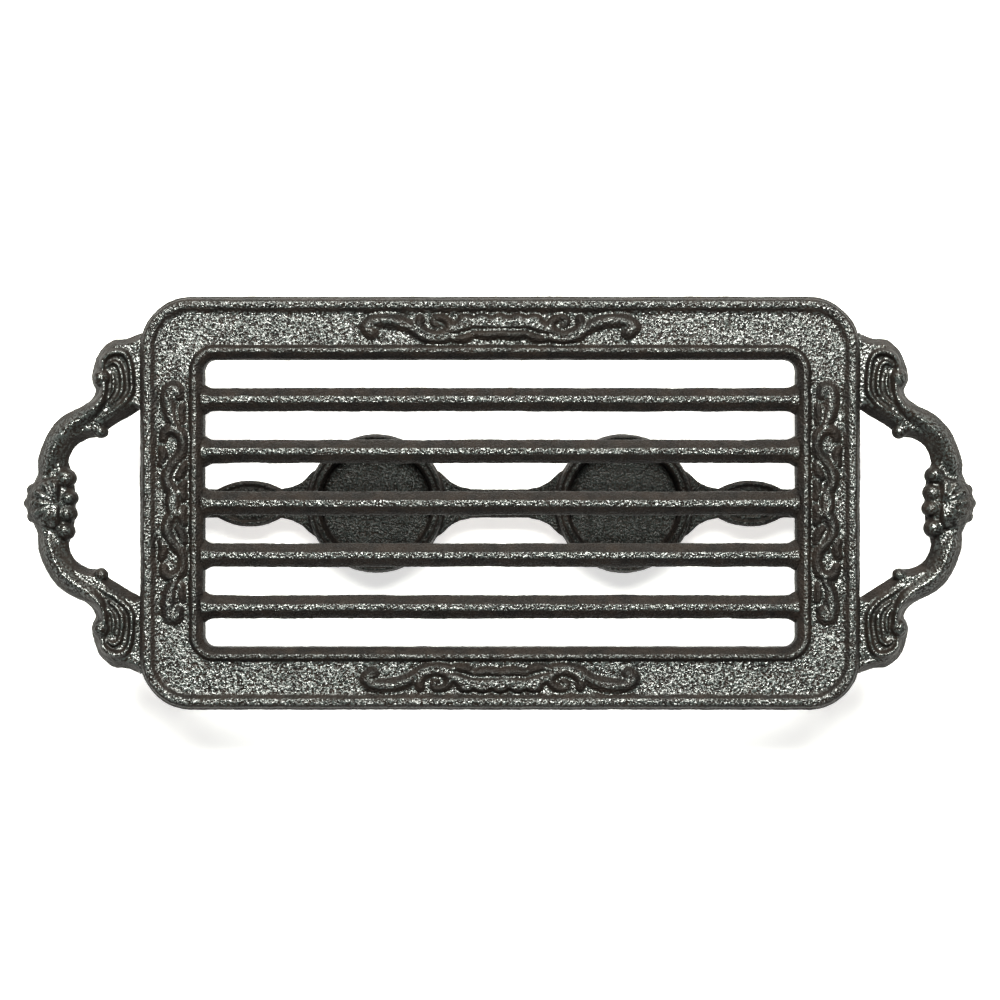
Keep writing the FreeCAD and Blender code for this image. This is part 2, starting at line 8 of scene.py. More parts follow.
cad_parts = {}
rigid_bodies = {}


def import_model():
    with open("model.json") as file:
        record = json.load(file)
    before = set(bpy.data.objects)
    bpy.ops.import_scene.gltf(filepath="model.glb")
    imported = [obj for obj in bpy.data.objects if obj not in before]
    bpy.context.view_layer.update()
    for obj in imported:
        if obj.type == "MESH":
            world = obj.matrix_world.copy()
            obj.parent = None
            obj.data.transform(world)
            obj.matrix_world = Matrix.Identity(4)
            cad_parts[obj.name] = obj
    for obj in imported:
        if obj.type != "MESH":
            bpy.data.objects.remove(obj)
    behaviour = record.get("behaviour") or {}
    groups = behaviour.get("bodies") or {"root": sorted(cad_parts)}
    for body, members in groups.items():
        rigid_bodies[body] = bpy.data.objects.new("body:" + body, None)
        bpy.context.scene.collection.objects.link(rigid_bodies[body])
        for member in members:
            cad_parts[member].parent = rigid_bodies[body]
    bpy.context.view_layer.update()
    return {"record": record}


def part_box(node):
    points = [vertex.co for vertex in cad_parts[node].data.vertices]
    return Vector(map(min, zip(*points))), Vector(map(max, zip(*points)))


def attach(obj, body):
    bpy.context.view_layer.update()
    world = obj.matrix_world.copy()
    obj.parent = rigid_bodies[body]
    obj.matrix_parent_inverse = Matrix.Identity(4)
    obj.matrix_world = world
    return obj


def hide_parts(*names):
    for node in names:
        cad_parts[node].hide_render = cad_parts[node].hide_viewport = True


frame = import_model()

# Geometry below is worked out in millimetres in the frame's own axes:
# +X along the grate, +Y to the back, +Z up, origin on the table under the grate's middle.
MM = 0.001


def box_mm(node):
    """A CAD node's lowest and highest corners in millimetres."""
    low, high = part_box(node)
    return np.array(low) / MM, np.array(high) / MM


# ---------------------------------------------------------------- sizes from the frame
GRATE_LOW, GRATE_HIGH = box_mm("grate")
SKIRT_X = GRATE_HIGH[0]
SKIRT_Y = GRATE_HIGH[1]
TOP = GRATE_HIGH[2]
SKIRT_BOTTOM = GRATE_LOW[2]
SKIRT_STEP = 1.0
EDGE_X = SKIRT_X - SKIRT_STEP
EDGE_Y = SKIRT_Y - SKIRT_STEP
BAND_DROP = 1.6
FRAME_CORNER = 17.0
OPENING_X = EDGE_X - 21.2
OPENING_Y = EDGE_Y - 20.85
OPENING_CORNER = 4.0
LIP_BOTTOM = TOP - 9.0
WEB_BOTTOM = TOP - 5.6
BAR_PITCH = 17.95
BAR_COUNT = 5
HANDLE_BOTTOM = box_mm("right_handle")[0][2]
PLATE_LOW = HANDLE_BOTTOM + 2.0
HANDLE_MID = PLATE_LOW + 3.6
LEG_LOW, LEG_HIGH = box_mm("right_leg_frame")
LEG_X = (LEG_LOW[0] + LEG_HIGH[0]) / 2
TRAY_LOW, TRAY_HIGH = box_mm("candle_tray")
CUP_X = 45.0


# ---------------------------------------------------------------- mesh helpers
def spline(rows, step=0.4):
    """A smooth Catmull-Rom curve through rows of numbers, the first three of them a place."""
    rows = np.asarray(rows, dtype=float)
    ends = np.vstack([2 * rows[0] - rows[1], rows, 2 * rows[-1] - rows[-2]])
    pieces = []
    for a, b, c, d in zip(ends, ends[1:], ends[2:], ends[3:]):
        count = max(2, int(np.linalg.norm((c - b)[:3]) / step) + 1)
        t = np.linspace(0, 1, count, endpoint=False)[:, None]
        pieces.append(0.5 * (2 * b + (c - a) * t + (2 * a - 5 * b + 4 * c - d) * t ** 2
                             + (3 * b - a - 3 * c + d) * t ** 3))
    return np.vstack(pieces + [rows[-1:]])


def ring_quads(rings, count, loop=True):
    """Quads between rings of points, each ring closed, and the rings in a loop if asked."""
    quads = []
    for i in range(rings if loop else rings - 1):
        a = i * count
        b = ((i + 1) % rings) * count
        for j in range(count):
            k = (j + 1) % count
            quads.append((a + j, a + k, b + k, b + j))
    return quads


class Shells:
    """Closed shells in millimetres, gathered for one casting."""

    def __init__(self):
        self.points = []
        self.faces = []

    def add(self, points, faces):
        first = len(self.points)
        self.points.extend(np.asarray(points, dtype=float).tolist())
        self.faces.extend([tuple(first + i for i in face) for face in faces])

    def tube(self, rows, reference=(0, 0, 1), around=20, lean=1.0, step=0.5):
        """A round-ended bar along a curve. Each row: x, y, z, half width, half height.

        The height runs along reference. A lean below 1 squares the round section, and one above 1
        draws it to a ridge.
        """
        rows = spline(rows, step)
        places, half_width, half_height = rows[:, :3], rows[:, 3], rows[:, 4]
        reference = np.array(reference, dtype=float)
        ahead = np.gradient(places, axis=0)
        ahead -= np.outer(ahead @ reference, reference)
        ahead /= np.linalg.norm(ahead, axis=1)[:, None]
        turns = np.linspace(0, 2 * math.pi, around, endpoint=False)
        across = np.sign(np.cos(turns)) * np.abs(np.cos(turns)) ** lean
        rise = np.sign(np.sin(turns)) * np.abs(np.sin(turns)) ** lean
        rings = []
        caps = np.sin(np.linspace(0, math.pi / 2, 6))[:-1]

        def ring(index, shift, scale):
            side = np.cross(reference, ahead[index])
            centre = places[index] + ahead[index] * shift
            rings.append(centre + np.outer(across * half_width[index] * scale, side)
                         + np.outer(rise * half_height[index] * scale, reference))

        for s in caps:
            reach = math.sqrt(1 - s * s)
            ring(0, -half_width[0] * reach, max(s, 0.02))
        for index in range(len(places)):
            ring(index, 0, 1)
        for s in caps[::-1]:
            reach = math.sqrt(1 - s * s)
            ring(-1, half_width[-1] * reach, max(s, 0.02))
        count = len(rings)
        faces = ring_quads(count, around, loop=False)
        faces.append(tuple(range(around))[::-1])
        faces.append(tuple((count - 1) * around + j for j in range(around)))
        self.add(np.vstack(rings), faces)

    def ball(self, centre, half, around=48, rows=24):
        """An ellipsoid."""
        tilt = np.linspace(-math.pi / 2, math.pi / 2, rows + 1)[1:-1]
        turns = np.linspace(0, 2 * math.pi, around, endpoint=False)
        points = []
        for t in tilt:
            radius = math.cos(t)
            points.append(np.stack([centre[0] + half[0] * radius * np.cos(turns),
                                    centre[1] + half[1] * radius * np.sin(turns),
                                    np.full(around, centre[2] + half[2] * math.sin(t))], axis=1))
        faces = ring_quads(len(tilt), around, loop=False)
        faces.append(tuple(range(around))[::-1])
        faces.append(tuple((len(tilt) - 1) * around + j for j in range(around)))
        self.add(np.vstack(points), faces)

    def slab(self, outline, low, high, slope=0.0, slope_height=0.0, wall_x=None):
        """A plate with the given plan outline, its upper edge drawn in by slope over slope_height.

        The edge stays upright where it lies on the wall at wall_x.
        """
        outline = np.asarray(outline, dtype=float)
        count = len(outline)
        ahead = np.roll(outline, -1, axis=0) - np.roll(outline, 1, axis=0)
        ahead /= np.linalg.norm(ahead, axis=1)[:, None]
        inward = np.column_stack([-ahead[:, 1], ahead[:, 0]])
        if wall_x is not None:
            inward[np.isclose(outline[:, 0], wall_x), 0] = 0
        levels = [(low, 0.0), (high - slope_height, 0.0)]
        if slope:
            levels.append((high, slope))
        points = np.vstack([np.column_stack([outline + inward * inset, np.full(count, z)])
                            for z, inset in levels])
        faces = ring_quads(len(levels), count, loop=False)
        faces.append(tuple(range(count))[::-1])
        faces.append(tuple((len(levels) - 1) * count + j for j in range(count)))
        self.add(points, faces)

    def lathe(self, profile, centre, around=120):
        """A closed profile of (radius, height) turned about an upright axis."""
        turns = np.linspace(0, 2 * math.pi, around, endpoint=False)
        rings = [np.column_stack([centre[0] + max(r, 0.02) * np.cos(turns),
                                  centre[1] + max(r, 0.02) * np.sin(turns),
                                  np.full(around, z)]) for r, z in profile]
        self.add(np.vstack(rings), ring_quads(len(rings), around))

    def build(self, name):
        mesh = bpy.data.meshes.new(name)
        mesh.from_pydata((np.array(self.points) * MM).tolist(), [], self.faces)
        mesh.update()
        piece = bpy.data.objects.new(name, mesh)
        bpy.context.scene.collection.objects.link(piece)
        return piece


def mirrored(rows, x=1, y=1):
    """The same rows on the other side of the X or Y axis."""
    rows = np.array(rows, dtype=float)
    rows[:, 0] *= x
    rows[:, 1] *= y
    return rows


def settle(piece):
    """Makes a piece's modifiers its real mesh."""
    graph = bpy.context.evaluated_depsgraph_get()
    finished = bpy.data.meshes.new_from_object(piece.evaluated_get(graph))
    piece.modifiers.clear()
    piece.data = finished


def fuse(piece, voxel, rounds):
    """Fuses a piece's shells into one skin and softens its edges as casting sand does."""
    remesh = piece.modifiers.new("fuse", "REMESH")
    remesh.mode = "VOXEL"
    remesh.voxel_size = voxel * MM
    soften = piece.modifiers.new("soften", "SMOOTH")
    soften.factor = 0.5
    soften.iterations = rounds
    settle(piece)


def roughen(piece, layers, seed):
    """Moves points along their normals by layers of noise: (height, grain) in millimetres."""
    mesh = piece.data
    count = len(mesh.vertices)
    places = np.empty(count * 3)
    mesh.vertices.foreach_get("co", places)
    places = places.reshape(-1, 3)
    normals = np.empty(count * 3, dtype=np.float32)
    mesh.vertex_normals.foreach_get("vector", normals)
    normals = normals.reshape(-1, 3)
    shift = np.zeros(count)
    for layer, (height, grain) in enumerate(layers):
        offset = Vector((seed * 7.3, layer * 11.7, seed * 3.1))
        scaled = places / (grain * MM)
        shift += height * MM * np.array([noise.noise(Vector(p) + offset) for p in scaled.tolist()])
    places += normals * shift[:, None]
    places[:, 2] = np.maximum(places[:, 2], 0)
    mesh.vertices.foreach_set("co", places.ravel())
    mesh.update()


CAST_GRAIN = ((0.16, 7.0), (0.10, 1.6), (0.09, 0.8))


def finish_casting(piece, body, node, material, seed, grain=CAST_GRAIN):
    """Gives a piece its cast surface and material, sets it on its body and hides the CAD part it stands for.
    """
    roughen(piece, grain, seed)
    piece.data.polygons.foreach_set("use_smooth", [True] * len(piece.data.polygons))
    piece.data.materials.clear()
    piece.data.materials.append(material)
    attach(piece, body)
    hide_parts(node)


# ---------------------------------------------------------------- relief on the grate's band
# Strokes of the low relief, each a thick form with a crest, as rows of x, y, half width and,
# where its top is flat, how steep its edges are.
# Long sides: x from the ornament's middle, y outward from the band's middle line.
# Short sides: x inward from the band's middle line, y from the ornament's middle.
# The other half of each ornament mirrors this one.
LONG_RELIEF = (
    # end hook: a comma with its head at the ornament's tip
    ((44.3, -1.3, 2.6), (45.9, 0.7, 2.7), (43.6, 2.5, 2.6), (39.2, 2.9, 2.7), (35.2, 2.3, 2.6),
     (31.6, 1.0, 2.4), (29.4, -0.6, 2.0), (27.2, -2.6, 1.7), (23.8, -3.6, 1.5), (20.0, -3.7, 1.5),
     (16.6, -2.8, 1.3)),
    # volute
    ((27.6, 3.6, 1.5), (28.0, 1.5, 1.7), (26.7, -0.8, 1.8), (23.9, -2.0, 1.9), (20.4, -2.0, 1.9),
     (17.9, -0.7, 1.7), (17.5, 1.7, 1.5), (19.3, 3.5, 1.4), (22.0, 3.9, 1.2), (23.2, 2.4, 1.0),
     (21.8, 0.9, 1.1)),
    # leaf over the middle with a lobed upper edge, and small leaves at its foot
    ((16.4, -0.4, 1.8, 1.2), (13.4, 1.1, 2.3, 1.9), (10.2, 2.0, 2.3, 1.9), (6.8, 2.2, 2.3, 1.9),
     (3.4, 2.0, 2.3, 1.9), (0.0, 1.9, 2.3, 1.9)),
    ((12.6, 3.1, 2.1, 2.0), (11.2, 3.2, 2.1, 2.0)),
    ((6.9, 3.3, 2.1, 2.0), (5.5, 3.3, 2.1, 2.0)),
    ((0.7, 3.3, 2.1, 2.0), (0.0, 3.3, 2.1, 2.0)),
    ((15.0, -3.4, 1.5), (12.2, -3.2, 1.7), (10.2, -2.2, 1.5)),
    ((8.8, -1.5, 1.6), (4.6, -2.0, 1.9), (0.0, -1.5, 1.7)),
)
SHORT_RELIEF = (
    # end hook with its broad stem
    ((2.0, 37.0, 2.0), (1.2, 39.4, 2.6), (-0.8, 39.0, 2.9), (-1.4, 36.0, 2.9), (-1.1, 32.8, 2.8),
     (-0.4, 29.8, 2.5), (1.0, 27.0, 1.8)),
    ((3.4, 33.6, 1.2), (3.0, 30.6, 1.5), (3.2, 28.0, 1.2)),
    # S scroll running into the middle leaf
    ((-3.2, 22.0, 1.4), (-2.4, 24.6, 1.8), (0.4, 25.4, 2.1), (2.9, 23.6, 2.1), (3.7, 20.4, 1.9),
     (3.2, 17.4, 1.9), (1.7, 15.2, 2.1), (-0.2, 13.2, 2.2), (-1.6, 10.8, 2.2), (-1.9, 8.0, 2.2),
     (-1.0, 5.4, 2.3)),
    ((-3.8, 18.6, 1.4), (-3.0, 16.0, 1.6), (-3.9, 13.4, 1.3)),
    ((3.9, 13.4, 1.4), (3.2, 11.0, 1.7), (2.0, 9.0, 1.5)),
    ((3.9, 7.0, 1.3), (3.2, 4.6, 1.6), (3.8, 2.0, 1.4)),
    # middle leaf
    ((0.6, 3.6, 2.0, 1.6), (0.2, 1.6, 2.5, 1.6), (0.0, 0.0, 2.6, 1.6)),
)
RELIEF_HEIGHT = 1.7
CREST_ROUNDING = 0.07
OUTLINE_WIDTH = 1.2
OUTLINE_DEPTH = 0.4
# Half width below which a stroke is lower in proportion.
FULL_HEIGHT_FROM = 1.6


def relief_samples():
    """Every stroke on the four sides as rows of x, y, half width, edge steepness."""
    middle_y = (OPENING_Y + EDGE_Y) / 2
    middle_x = (OPENING_X + EDGE_X) / 2
    rows = []
    for strokes, along_x in ((LONG_RELIEF, True), (SHORT_RELIEF, False)):
        for stroke in strokes:
            curve = spline([(*point, 1.0)[:4] for point in stroke], 0.15)
            for x in (-1, 1):
                for y in (-1, 1):
                    if along_x:
                        plan = (curve[:, 0] * x, (curve[:, 1] + middle_y) * y)
                    else:
                        plan = ((middle_x - curve[:, 0]) * x, curve[:, 1] * y)
                    rows.append(np.column_stack([*plan, curve[:, 2:]]))
    return np.vstack(rows)


def relief_height(places):
    """The relief's rise over the band at plan points, below zero in the outline sunk round it."""
    samples = relief_samples()
    rise = np.zeros(len(places))
    sink = np.zeros(len(places))
    full = math.sqrt(1 + CREST_ROUNDING) - math.sqrt(CREST_ROUNDING)
    chunk = 2000
    for start in range(0, len(places), chunk):
        part = places[start:start + chunk]
        gap = np.hypot(part[:, None, 0] - samples[None, :, 0], part[:, None, 1] - samples[None, :, 1])
        reach = gap / samples[None, :, 2]
        ridge = (math.sqrt(1 + CREST_ROUNDING) - np.sqrt(np.minimum(reach, 1) ** 2 + CREST_ROUNDING)) / full
        ridge = np.minimum(ridge * samples[None, :, 3], 1)
        ridge = ridge * np.minimum(1, samples[None, :, 2] / FULL_HEIGHT_FROM)
        rise[start:start + chunk] = np.max(ridge, axis=1)
        sink[start:start + chunk] = np.min(gap - samples[None, :, 2], axis=1)
    outline = np.clip(1 - np.abs(sink - OUTLINE_WIDTH / 2) / (OUTLINE_WIDTH / 2), 0, 1)
    return np.where(sink <= 0, rise * RELIEF_HEIGHT, -OUTLINE_DEPTH * outline)


# ---------------------------------------------------------------- grate
def rounded_ring(half_x, half_y, corner, straight_x, straight_y, turn):
    """Points round a rounded rectangle, the same number whatever its size."""
    points = []
    inner_x = half_x - corner
    inner_y = half_y - corner
    centres = ((inner_x, inner_y), (-inner_x, inner_y), (-inner_x, -inner_y), (inner_x, -inner_y))
    for k, (cx, cy) in enumerate(centres):
        for a in np.linspace(k, k + 1, turn, endpoint=False) * math.pi / 2:
            points.append((cx + corner * math.cos(a), cy + corner * math.sin(a)))
        a = (k + 1) * math.pi / 2
        start = np.array((cx + corner * math.cos(a), cy + corner * math.sin(a)))
        nx, ny = centres[(k + 1) % 4]
        end = np.array((nx + corner * math.cos(a), ny + corner * math.sin(a)))
        count = straight_x if k % 2 == 0 else straight_y
        for s in np.linspace(0, 1, count, endpoint=False):
            points.append(tuple(start + (end - start) * s))
    return np.array(points)


def frame_profile():
    """The grate's cross-section as rows of half length, half width, corner radius, height."""
    band = TOP - BAND_DROP

    def inner(out, z):
        return (OPENING_X + out, OPENING_Y + out, OPENING_CORNER + out, z)

    def outer(back, z):
        return (EDGE_X - back, EDGE_Y - back, FRAME_CORNER - back, z)

    wall = 3.0
    rows = [
        inner(0.0, LIP_BOTTOM), inner(0.0, TOP - 5.0), inner(0.1, TOP - 2.6), inner(0.9, TOP - 1.5),
        inner(1.9, TOP - 0.55), inner(2.5, TOP), inner(3.8, TOP), inner(4.4, TOP - 0.8),
        inner(4.9, band + 0.1), inner(5.6, band),
        outer(5.9, band), outer(5.1, band + 0.05), outer(4.2, TOP - 1.1), outer(3.2, TOP - 0.3),
        outer(2.2, TOP), outer(1.1, TOP - 0.1), outer(0.25, TOP - 0.7), outer(0.0, TOP - 1.6),
        outer(-0.2, TOP - 2.6), outer(-SKIRT_STEP, TOP - 3.6), outer(-SKIRT_STEP, TOP - 6.0),
        outer(-SKIRT_STEP, SKIRT_BOTTOM), outer(wall, SKIRT_BOTTOM), outer(wall, WEB_BOTTOM),
        inner(3.5, WEB_BOTTOM), inner(3.5, LIP_BOTTOM),
    ]
    return np.array(rows)


def profile_points(rows, coarse_from):
    """The profile, rounded by corner cutting and divided evenly, finer on its top."""
    seen = len(rows) - coarse_from
    top = rows[:seen]
    cut = [top[0]]
    for a, b in zip(top, top[1:]):
        cut.append(a * 0.75 + b * 0.25)
        cut.append(a * 0.25 + b * 0.75)
    cut.append(top[-1])
    top = np.array(cut)
    hidden = rows[seen:]
    chain = np.vstack([top, hidden, rows[:1]])
    points = []
    for index, (a, b) in enumerate(zip(chain, chain[1:])):
        step = 0.62 if index < len(top) - 1 else 3.0
        length = math.hypot(b[0] - a[0], b[3] - a[3])
        count = max(1, round(length / step))
        for s in np.linspace(0, 1, count, endpoint=False):
            points.append(a + (b - a) * s)
    return np.array(points)


def make_grate_frame():
    """The skirted frame with its two beads and its recessed, ornamented band."""
    rows = profile_points(frame_profile(), coarse_from=4)
    spacing = 0.68
    straight_x = round(2 * (EDGE_X - FRAME_CORNER) / spacing)
    straight_y = round(2 * (EDGE_Y - FRAME_CORNER) / spacing)
    turn = 34
    plan = [rounded_ring(*row[:3], straight_x, straight_y, turn) for row in rows]
    count = len(plan[0])
    points = np.vstack([np.column_stack([ring, np.full(count, row[3])]) for ring, row in zip(plan, rows)])
    band_edge = 4.4
    out_x, out_y = np.abs(points[:, 0]), np.abs(points[:, 1])
    on_band = ((points[:, 2] > TOP - BAND_DROP - 0.4)
               & ((out_x > OPENING_X + band_edge) | (out_y > OPENING_Y + band_edge))
               & (out_x < EDGE_X - band_edge) & (out_y < EDGE_Y - band_edge))
    relief = relief_height(points[on_band][:, :2])
    level = points[on_band, 2]
    risen = np.where(relief > 0, np.maximum(level, TOP - BAND_DROP + relief), level + relief)
    points[on_band, 2] = np.minimum(risen, TOP)
    shells = Shells()
    shells.add(points, ring_quads(len(rows), count))
    low, high = box_mm("right_back_leg_screw")
    screw = (low[:2] + high[:2]) / 2
    rail_top = LEG_HIGH[2]
    boss = ((0, rail_top), (5.2, rail_top), (5.6, rail_top + 1), (6.4, WEB_BOTTOM + 1), (0, WEB_BOTTOM + 1))
    for x in (-1, 1):
        for y in (-1, 1):
            shells.lathe(boss, (screw[0] * x, screw[1] * y), around=40)
    return shells.build("grate_frame")


def make_grate_bars():
    """The five lengthwise bars: flat-topped, sloped flanks, flared where they join the frame."""
    section = np.array(((-2.5, -7.2), (2.5, -7.2), (3.6, -5.6), (4.1, -4.2), (3.95, -3.2), (2.8, -1.9),
                        (1.7, -0.75), (0.9, -0.16), (0.0, -0.08), (-0.9, -0.16), (-1.7, -0.75),
                        (-3.0, -1.9), (-3.95, -3.2), (-4.1, -4.2), (-3.6, -5.6)))
    step = 0.6
    loop = np.vstack([section, section[:1]])
    outline = []
    for a, b in zip(loop, loop[1:]):
        pieces = max(1, round(np.linalg.norm(b - a) / step))
        outline.extend(a + (b - a) * s for s in np.linspace(0, 1, pieces, endpoint=False))
    outline = np.array(outline)
    shells = Shells()
    root = OPENING_X + 1.0
    places = np.linspace(-root, root, round(2 * root / step))
    for k in range(BAR_COUNT):
        y = (k - (BAR_COUNT - 1) / 2) * BAR_PITCH
        rings = []
        for x in places:
            flare = 1 + 0.32 * math.exp(-((OPENING_X - abs(x)) / 1.7) ** 2)
            drop = 0.35 * math.exp(-((OPENING_X - abs(x)) / 2.5) ** 2)
            rings.append(np.column_stack([np.full(len(outline), x), y + outline[:, 0] * flare,
                                          TOP - 0.1 - drop + outline[:, 1]]))
        faces = ring_quads(len(places), len(outline), loop=False)
        faces.append(tuple(range(len(outline))))
        faces.append(tuple((len(places) - 1) * len(outline) + j for j in range(len(outline)))[::-1])
        shells.add(np.vstack(rings), faces)
    return shells.build("grate_bars")


# ---------------------------------------------------------------- handles
FLANGE_GAP = 0.02


def handle_strands():
    """Scroll strands of one half of the right handle; its other half mirrors them.

    Each is rows of x, y, z, half width, half height, and how far its section leans to a ridge.
    """
    mid = HANDLE_MID
    arm = mid - 0.6
    return (
        # stem: from the volute's eye down to the arm, then along the arm's crest to the shell
        (((137.2, 41.2, mid + 0.4, 1.9, 4.0), (137.5, 37.9, mid + 0.4, 2.1, 4.0),
          (138.7, 35.2, mid + 0.4, 2.4, 4.2), (141.2, 32.4, mid + 0.2, 3.2, 4.4),
          (144.8, 29.8, arm, 4.2, 4.6), (149.8, 26.4, arm, 4.8, 4.8), (153.2, 22.4, arm, 4.8, 4.8),
          (155.2, 18.2, arm, 4.7, 4.7), (156.6, 13.8, arm - 0.2, 4.6, 4.4),
          (157.0, 9.0, arm - 1.4, 4.2, 3.8)), 1.5),
        # inner flank of the arm, ending in a small curl
        (((138.9, 25.0, mid - 0.8, 2.2, 3.2), (142.4, 26.4, mid - 1.2, 2.3, 3.0),
          (146.4, 25.4, mid - 1.6, 2.5, 3.0), (149.8, 21.8, mid - 1.8, 2.6, 3.0),
          (152.0, 17.4, mid - 1.8, 2.4, 3.0), (152.8, 12.4, mid - 1.6, 2.3, 3.0)), 1.3),
        # great C of the root scroll
        (((138.0, 47.4, mid, 1.4, 3.6), (137.6, 49.9, mid + 0.3, 1.6, 3.6),
          (135.5, 51.9, mid + 0.4, 1.7, 3.6),
          (132.6, 52.6, mid + 0.4, 1.7, 3.6), (130.0, 51.6, mid + 0.4, 1.6, 3.6),
          (128.6, 48.8, mid + 0.3, 1.5, 3.6), (128.0, 45.0, mid + 0.3, 1.5, 3.6),
          (127.8, 41.2, mid + 0.3, 1.5, 3.6), (128.1, 38.4, mid + 0.2, 1.6, 3.6),
          (129.6, 36.0, mid, 1.7, 3.6), (132.4, 33.4, mid - 0.2, 1.8, 3.6),
          (136.2, 31.0, mid - 0.4, 1.8, 3.4),
          (140.0, 28.8, mid - 0.8, 1.6, 3.2)), 1.25),
        # second C
        (((136.2, 47.8, mid - 0.4, 1.0, 3.4), (134.4, 49.0, mid, 1.2, 3.6),
          (132.4, 48.0, mid + 0.1, 1.4, 3.6),
          (131.5, 45.2, mid + 0.1, 1.5, 3.6), (131.1, 42.0, mid + 0.1, 1.5, 3.6),
          (131.3, 39.2, mid, 1.5, 3.6),
          (132.8, 36.6, mid - 0.2, 1.5, 3.4), (135.4, 34.4, mid - 0.4, 1.4, 3.4)), 1.25),
        # third C
        (((134.4, 44.6, mid - 0.3, 1.0, 3.4), (134.1, 41.6, mid - 0.1, 1.2, 3.4),
          (134.6, 38.8, mid - 0.2, 1.2, 3.4), (136.0, 36.4, mid - 0.3, 1.0, 3.4)), 1.25),
    )


def arm_outline():
    """Plan outline of one half of the handle's backing plate."""
    flange = SKIRT_X + FLANGE_GAP
    outer = spline(((164.6, -1.0), (163.4, 5.4), (161.2, 10.8), (160.2, 16.4), (157.8, 22.6), (153.6, 27.9),
                    (148.0, 32.5), (142.6, 36.2), (140.9, 39.4)), 1.5)
    scroll = spline(((140.9, 39.4), (142.4, 43.2), (141.6, 48.4), (139.4, 53.4), (135.0, 57.0), (130.2, 57.6),
                     (flange, 59.6)), 1.5)
    inner = spline(((flange, 33.2), (130.6, 29.6), (136.4, 26.0), (139.2, 23.2), (143.7, 22.6), (148.0, 20.0),
                    (150.6, 15.6), (149.4, 10.8), (148.4, 6.0), (148.0, -1.0)), 1.5)
    return np.vstack([outer[:-1], scroll, inner])


def make_handle(name, side):
    """A scrolled end handle: flange, root volutes, double-stranded arm, knuckles and fluted shell."""
    low, mid = PLATE_LOW, HANDLE_MID
    plate = arm_outline()
    shells = Shells()
    for y in (-1, 1):
        outline = mirrored(plate, y=y)
        shells.slab(outline if y > 0 else outline[::-1], low, low + 5.6, slope=2.6, slope_height=4.0,
                    wall_x=SKIRT_X + FLANGE_GAP)
        for rows, lean in handle_strands():
            shells.tube(mirrored(rows, y=y), lean=lean)
        shells.ball((138.5, 43.5 * y, mid + 0.8), (3.2, 3.4, 3.8))
        shells.ball((139.0, 24.9 * y, mid - 0.8), (2.6, 2.4, 3.4))
    knuckles = ((151.4, 9.7, 3.6), (150.6, 3.6, 3.6), (150.0, -1.8, 3.3), (151.1, -8.7, 3.8))
    for centre_x, centre_y, radius in knuckles:
        shells.ball((centre_x, centre_y, mid - 0.6), (radius, radius * 0.92, 4.4))
    add_shell_boss(shells, mid)
    piece = shells.build(name)
    fuse(piece, 0.4, 1)
    turn_piece(piece, side)
    return piece


def add_shell_boss(shells, mid):
    """The scallop shell at the handle's middle, its ribs fanning outward from the arm."""
    heart = np.array((153.4, 0.0))
    shells.ball((156.9, 0.0, mid - 1.2), (8.3, 9.8, 5.0))
    ribs = 7
    half_fan = 78
    long, wide, power = 13.0, 11.6, 2.2
    for k in range(ribs):
        turn = math.radians(-half_fan + 2 * half_fan * k / (ribs - 1))
        way = np.array((math.cos(turn), math.sin(turn)))
        reach = ((abs(way[0]) / long) ** power + (abs(way[1]) / wide) ** power) ** (-1 / power)
        rows = []
        for along, rise, thick in ((0.0, 0.9, 0.6), (0.15, 2.1, 0.9), (0.35, 2.8, 1.4), (0.55, 2.4, 1.9),
                                   (0.74, 1.0, 2.3), (0.79, -1.8, 2.4)):
            spot = heart + way * reach * along
            rows.append((spot[0], spot[1], mid + rise, thick, 2.4))
        shells.tube(rows, around=24, lean=1.15, step=0.4)


def turn_piece(piece, side):
    """Turns the right-hand piece half round for the left side."""
    if side > 0:
        return
    for vertex in piece.data.vertices:
        vertex.co.x = -vertex.co.x
        vertex.co.y = -vertex.co.y
    piece.data.update()


